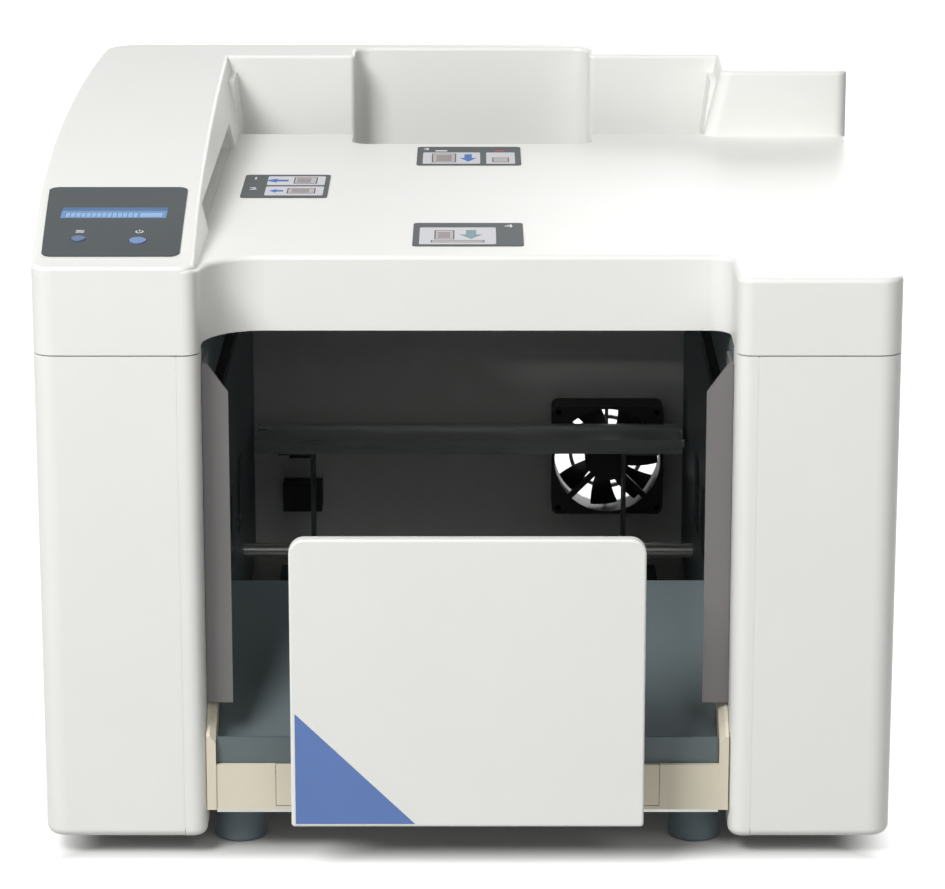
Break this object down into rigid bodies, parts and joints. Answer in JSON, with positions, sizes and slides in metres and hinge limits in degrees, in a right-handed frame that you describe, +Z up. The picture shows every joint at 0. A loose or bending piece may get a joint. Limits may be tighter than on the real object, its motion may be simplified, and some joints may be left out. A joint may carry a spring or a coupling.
{
  "type": "thermal binding machine",
  "caption": "Table-top machine that binds covered documents by heat: hinged top cover with feed well, clamp carriage, sloped tray with sliding gate.",
  "frame": {"origin": "on the table, under the middle of the bounding box", "axes": "+X to the right seen from the front, +Y to the rear, +Z up"},
  "size_m": [0.524, 0.593, 0.3994],
  "materials": {
    "ivory_moulding": "fine moulded texture, satin",
    "beige_moulding": "moulded, matt",
    "fin_grey": "moulded, matt",
    "fascia_film": "printed film, matt",
    "blue_accent": "satin blue",
    "window": "clear window",
    "dark_sheet": "dark powder coat",
    "plated_steel": "zinc plated",
    "heater_alloy": "anodised",
    "bronze": "sintered bronze",
    "black_rubber": "matt",
    "black_plastic": "matt",
    "circuit_board": "solder mask"
  },
  "bodies": {
    "base": {"base_plate": "plated_steel", "rubber_feet": "black_rubber", "left_side_casing": "ivory_moulding", "right_side_casing": "ivory_moulding", "left_bay_trim": "ivory_moulding", "right_bay_trim": "ivory_moulding", "rear_panel": "ivory_moulding", "left_frame_plate": "dark_sheet", "right_frame_plate": "dark_sheet", "rear_tie": "dark_sheet", "lower_ties": "plated_steel", "tray_frame": "beige_moulding", "tray_floor": "dark_sheet", "left_paper_fin": "fin_grey", "right_paper_fin": "fin_grey", "heater_plate": "heater_alloy", "heater_cartridges": "heater_alloy", "heater_bracket": "dark_sheet", "guide_rods": "plated_steel", "rod_brackets": "plated_steel", "shaft_bearings": "bronze", "idler_axles": "plated_steel", "left_drive_belt": "black_rubber", "right_drive_belt": "black_rubber", "motor_belt": "black_rubber", "drive_motor": "plated_steel", "power_supply": "plated_steel", "control_board": "circuit_board", "fan_frame": "black_plastic", "power_inlet": "black_plastic", "switch_housing": "black_plastic", "base_hinge_leaves": "plated_steel", "hinge_pins": "plated_steel", "rear_screws": "plated_steel"},
    "cover": {"top_cover": "ivory_moulding", "control_fascia": "fascia_film", "display_window": "window", "panel_board": "circuit_board", "gauge_shelf": "ivory_moulding", "feeler_pin": "plated_steel", "deck_labels": "fascia_film", "cover_hinge_leaves": "plated_steel"},
    "menu_button": {"menu_button": "blue_accent"},
    "power_button": {"power_button": "blue_accent"},
    "gauge_feeler": {"gauge_feeler": "black_plastic"},
    "tray": {"tray_drawer": "beige_moulding", "gate_plate": "ivory_moulding", "gate_inlay": "blue_accent"},
    "carriage": {"carriage": "dark_sheet", "jaw_actuator": "plated_steel", "rear_jaw_pad": "black_rubber"},
    "front_jaw": {"front_jaw": "dark_sheet", "front_jaw_pad": "black_rubber"},
    "drive_shaft": {"drive_shaft": "plated_steel"},
    "motor_pulley": {"motor_pulley": "black_plastic"},
    "left_idler": {"left_idler": "black_plastic"},
    "right_idler": {"right_idler": "black_plastic"},
    "fan_rotor": {"fan_rotor": "black_plastic"},
    "power_switch": {"power_switch": "black_plastic"}
  },
  "joints": [
    {"name": "cover_hinge", "type": "hinge", "parent": "base", "child": "cover", "pos_m": [0, 0.293, 0.3064], "axis": [-1, 0, 0], "range_deg": [0, 65]},
    {"name": "menu_button_press", "type": "slide", "parent": "cover", "child": "menu_button", "axis": [0, 0.1553, -0.9879], "range_m": [0, 0.001], "stiffness_N_per_m": 300, "springref_m": -0.0005},
    {"name": "power_button_press", "type": "slide", "parent": "cover", "child": "power_button", "axis": [0, 0.1568, -0.9876], "range_m": [0, 0.001], "stiffness_N_per_m": 300, "springref_m": -0.0005},
    {"name": "feeler_pivot", "type": "hinge", "parent": "cover", "child": "gauge_feeler", "pos_m": [-0.195, 0.0365, 0.3745], "axis": [-1, 0, 0], "range_deg": [0, 30], "stiffness_Nm_per_rad": 0.01, "springref_deg": -11.46},
    {"name": "tray_slide", "type": "slide", "parent": "base", "child": "tray", "axis": [0, -1, 0], "range_m": [0, 0.06]},
    {"name": "carriage_slide", "type": "slide", "parent": "base", "child": "carriage", "axis": [0, -1, 0], "range_m": [0, 0.35]},
    {"name": "jaw_slide", "type": "slide", "parent": "carriage", "child": "front_jaw", "axis": [0, 1, 0], "range_m": [0, 0.055]},
    {"name": "shaft_spin", "type": "hinge", "parent": "base", "child": "drive_shaft", "pos_m": [0, 0.265, 0.212], "axis": [1, 0, 0], "range_deg": [0, 1825]},
    {"name": "left_idler_spin", "type": "hinge", "parent": "base", "child": "left_idler", "pos_m": [-0.205, -0.1795, 0.212], "axis": [1, 0, 0], "range_deg": [0, 1825]},
    {"name": "right_idler_spin", "type": "hinge", "parent": "base", "child": "right_idler", "pos_m": [0.205, -0.1795, 0.212], "axis": [1, 0, 0], "range_deg": [0, 1825]},
    {"name": "motor_spin", "type": "hinge", "parent": "base", "child": "motor_pulley", "pos_m": [-0.222, 0.2065, 0.142], "axis": [1, 0, 0], "range_deg": [0, 4103.9]},
    {"name": "fan_spin", "type": "hinge", "parent": "base", "child": "fan_rotor", "pos_m": [0.1, 0.275, 0.102], "axis": [0, 1, 0], "continuous": true},
    {"name": "switch_rock", "type": "hinge", "parent": "base", "child": "power_switch", "pos_m": [-0.12, 0.288, 0.107], "axis": [1, 0, 0], "range_deg": [0, 8]}
  ],
  "couplings": [
    {"joint": "shaft_spin", "follows": "carriage_slide", "rad_per_m": 90.909},
    {"joint": "left_idler_spin", "follows": "carriage_slide", "rad_per_m": 90.909},
    {"joint": "right_idler_spin", "follows": "carriage_slide", "rad_per_m": 90.909},
    {"joint": "motor_spin", "follows": "carriage_slide", "rad_per_m": 204.55}
  ]
}
